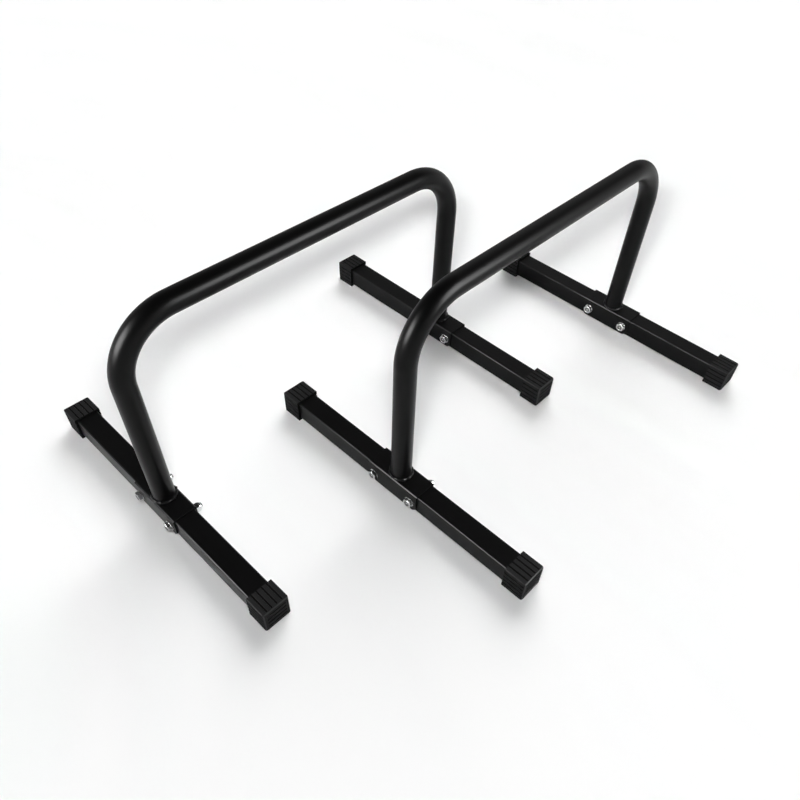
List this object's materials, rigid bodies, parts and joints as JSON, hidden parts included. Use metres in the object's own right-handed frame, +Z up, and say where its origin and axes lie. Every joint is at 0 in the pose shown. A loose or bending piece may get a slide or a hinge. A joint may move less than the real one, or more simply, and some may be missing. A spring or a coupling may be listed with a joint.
{
  "type": "parallette bars",
  "caption": "Matched parallette bars for dips and push-ups: bent steel grip tubes bolted by folded saddles to square foot tubes with ribbed rubber end caps.",
  "frame": {"origin": "on the floor under the middle of the pair", "axes": "+X along the feet to the right, +Y along the grip tubes from the front feet to the rear feet, +Z up"},
  "size_m": [0.864, 1.1052, 0.43],
  "materials": {
    "black_coat": "satin black powder coat",
    "black_rubber": "matte black moulded rubber",
    "zinc_plate": "bright zinc plate"
  },
  "bodies": {
    "left_bar": {"left_grip_tube": "black_coat", "left_front_foot_tube": "black_coat", "left_front_saddle": "black_coat", "left_front_cap_left": "black_rubber", "left_front_cap_right": "black_rubber", "left_front_bolt_left": "zinc_plate", "left_front_bolt_right": "zinc_plate", "left_front_head_washer_left": "zinc_plate", "left_front_head_washer_right": "zinc_plate", "left_front_nut_washer_left": "zinc_plate", "left_front_nut_washer_right": "zinc_plate", "left_front_nut_left": "zinc_plate", "left_front_nut_right": "zinc_plate", "left_rear_foot_tube": "black_coat", "left_rear_saddle": "black_coat", "left_rear_cap_left": "black_rubber", "left_rear_cap_right": "black_rubber", "left_rear_bolt_left": "zinc_plate", "left_rear_bolt_right": "zinc_plate", "left_rear_head_washer_left": "zinc_plate", "left_rear_head_washer_right": "zinc_plate", "left_rear_nut_washer_left": "zinc_plate", "left_rear_nut_washer_right": "zinc_plate", "left_rear_nut_left": "zinc_plate", "left_rear_nut_right": "zinc_plate"},
    "right_bar": {"right_grip_tube": "black_coat", "right_front_foot_tube": "black_coat", "right_front_saddle": "black_coat", "right_front_cap_left": "black_rubber", "right_front_cap_right": "black_rubber", "right_front_bolt_left": "zinc_plate", "right_front_bolt_right": "zinc_plate", "right_front_head_washer_left": "zinc_plate", "right_front_head_washer_right": "zinc_plate", "right_front_nut_washer_left": "zinc_plate", "right_front_nut_washer_right": "zinc_plate", "right_front_nut_left": "zinc_plate", "right_front_nut_right": "zinc_plate", "right_rear_foot_tube": "black_coat", "right_rear_saddle": "black_coat", "right_rear_cap_left": "black_rubber", "right_rear_cap_right": "black_rubber", "right_rear_bolt_left": "zinc_plate", "right_rear_bolt_right": "zinc_plate", "right_rear_head_washer_left": "zinc_plate", "right_rear_head_washer_right": "zinc_plate", "right_rear_nut_washer_left": "zinc_plate", "right_rear_nut_washer_right": "zinc_plate", "right_rear_nut_left": "zinc_plate", "right_rear_nut_right": "zinc_plate"}
  },
  "joints": [
    {"name": "bar_spacing", "type": "slide", "parent": "left_bar", "child": "right_bar", "axis": [1, 0, 0], "range_m": [-0.1, 0.35]}
  ]
}
